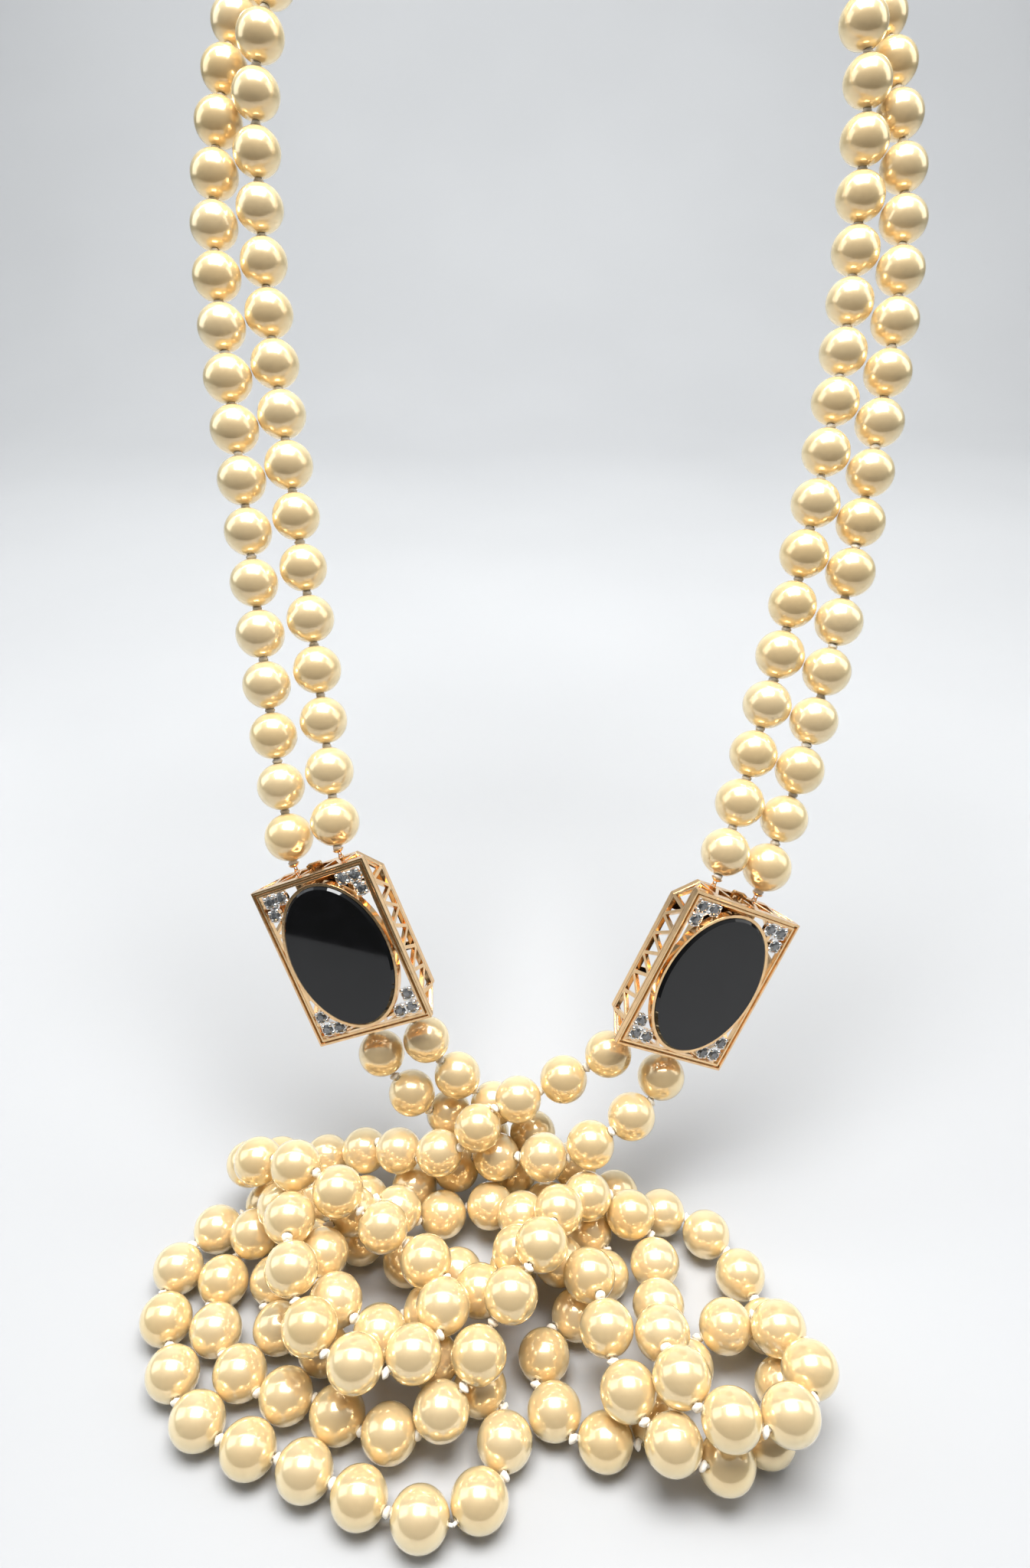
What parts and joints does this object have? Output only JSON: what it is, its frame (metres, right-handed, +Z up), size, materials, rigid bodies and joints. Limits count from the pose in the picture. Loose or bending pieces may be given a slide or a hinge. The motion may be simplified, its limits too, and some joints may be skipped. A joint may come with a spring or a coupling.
{
  "type": "pearl necklace",
  "caption": "Long two-strand knotted pearl necklace with openwork gold box clasps set with black oval tablets and corner brilliants, laid out as worn.",
  "frame": {"origin": "on the table plane under the middle of the neck opening, between the two clasps", "axes": "+X to the right as seen from the front, +Y away from the viewer, +Z up, table at z = 0"},
  "size_m": [0.1256, 0.1845, 0.2144],
  "materials": {
    "pearl": "lustrous cream-gold nacre",
    "silk": "twisted white silk",
    "gold": "polished rose-yellow gold",
    "onyx": "mirror polished black",
    "white_metal": "polished white metal beads",
    "brilliant": "faceted clear stone"
  },
  "bodies": {
    "lower_strands": {"lower_strands_pearls": "pearl", "lower_strands_silk": "silk", "left_lower_cups": "gold", "right_lower_cups": "gold"},
    "left_clasp": {"left_front_frame": "gold", "left_gallery": "gold", "left_back_frame": "gold", "left_bezel": "gold", "left_onyx": "onyx", "left_stone_settings": "white_metal", "left_brilliants": "brilliant", "left_catch_box": "gold", "left_lower_loop_bar": "gold"},
    "left_tongue": {"left_tongue": "gold"},
    "left_thumb": {"left_thumb_piece": "gold"},
    "left_neck": {"left_neck_cups": "gold", "left_neck_pearls": "pearl", "left_neck_silk": "silk"},
    "left_nape": {"left_nape_pearls": "pearl", "left_nape_silk": "silk"},
    "left_loop": {"left_loop_pearls": "pearl", "left_loop_silk": "silk"},
    "right_clasp": {"right_front_frame": "gold", "right_gallery": "gold", "right_back_frame": "gold", "right_bezel": "gold", "right_onyx": "onyx", "right_stone_settings": "white_metal", "right_brilliants": "brilliant", "right_catch_box": "gold", "right_lower_loop_bar": "gold"},
    "right_tongue": {"right_tongue": "gold"},
    "right_thumb": {"right_thumb_piece": "gold"},
    "right_neck": {"right_neck_cups": "gold", "right_neck_pearls": "pearl", "right_neck_silk": "silk"},
    "right_nape": {"right_nape_pearls": "pearl", "right_nape_silk": "silk"},
    "right_loop": {"right_loop_pearls": "pearl", "right_loop_silk": "silk"}
  },
  "joints": [
    {"name": "left_clasp_swing", "type": "hinge", "parent": "lower_strands", "child": "left_clasp", "pos_m": [-0.02883, 0.00207, 0.03362], "axis": [0.9031, -0.1022, 0.4171], "range_deg": [0, 8]},
    {"name": "left_tongue_slide", "type": "slide", "parent": "left_clasp", "child": "left_tongue", "axis": [-0.3671, 0.3205, 0.8732], "range_m": [0, 0.007]},
    {"name": "left_thumb_press", "type": "hinge", "parent": "left_tongue", "child": "left_thumb", "pos_m": [-0.03236, 0.00481, 0.04192], "axis": [-0.9031, 0.1022, -0.4171], "range_deg": [0, 2.2]},
    {"name": "left_strand_swing", "type": "hinge", "parent": "left_tongue", "child": "left_neck", "pos_m": [-0.03949, 0.01138, 0.05898], "axis": [0.9031, -0.1022, 0.4171], "range_deg": [0, 12]},
    {"name": "left_shoulder_fold", "type": "hinge", "parent": "left_neck", "child": "left_nape", "pos_m": [-0.05067, 0.07887, 0.17508], "axis": [0.7758, -0.3893, 0.4965], "range_deg": [0, 18]},
    {"name": "left_loop_lift", "type": "hinge", "parent": "lower_strands", "child": "left_loop", "pos_m": [-0.03587, -0.03679, 0.004], "axis": [-0.9516, 0.3073, 0], "range_deg": [0, 15]},
    {"name": "right_clasp_swing", "type": "hinge", "parent": "lower_strands", "child": "right_clasp", "pos_m": [0.01577, 0.00025, 0.03036], "axis": [0.8601, 0.1728, -0.48], "range_deg": [0, 8]},
    {"name": "right_tongue_slide", "type": "slide", "parent": "right_clasp", "child": "right_tongue", "axis": [0.4238, 0.2816, 0.8609], "range_m": [0, 0.007]},
    {"name": "right_thumb_press", "type": "hinge", "parent": "right_tongue", "child": "right_thumb", "pos_m": [0.01985, 0.00261, 0.03852], "axis": [-0.8601, -0.1728, 0.48], "range_deg": [0, 2.2]},
    {"name": "right_strand_swing", "type": "hinge", "parent": "right_tongue", "child": "right_neck", "pos_m": [0.02808, 0.00843, 0.05536], "axis": [0.8601, 0.1728, -0.48], "range_deg": [0, 12]},
    {"name": "right_shoulder_fold", "type": "hinge", "parent": "right_neck", "child": "right_nape", "pos_m": [0.0512, 0.07813, 0.17264], "axis": [0.5836, 0.7699, 0.2582], "range_deg": [0, 18]},
    {"name": "right_loop_lift", "type": "hinge", "parent": "lower_strands", "child": "right_loop", "pos_m": [0.01674, -0.03947, 0.01004], "axis": [-0.4971, -0.5305, 0.6867], "range_deg": [0, 15]}
  ]
}
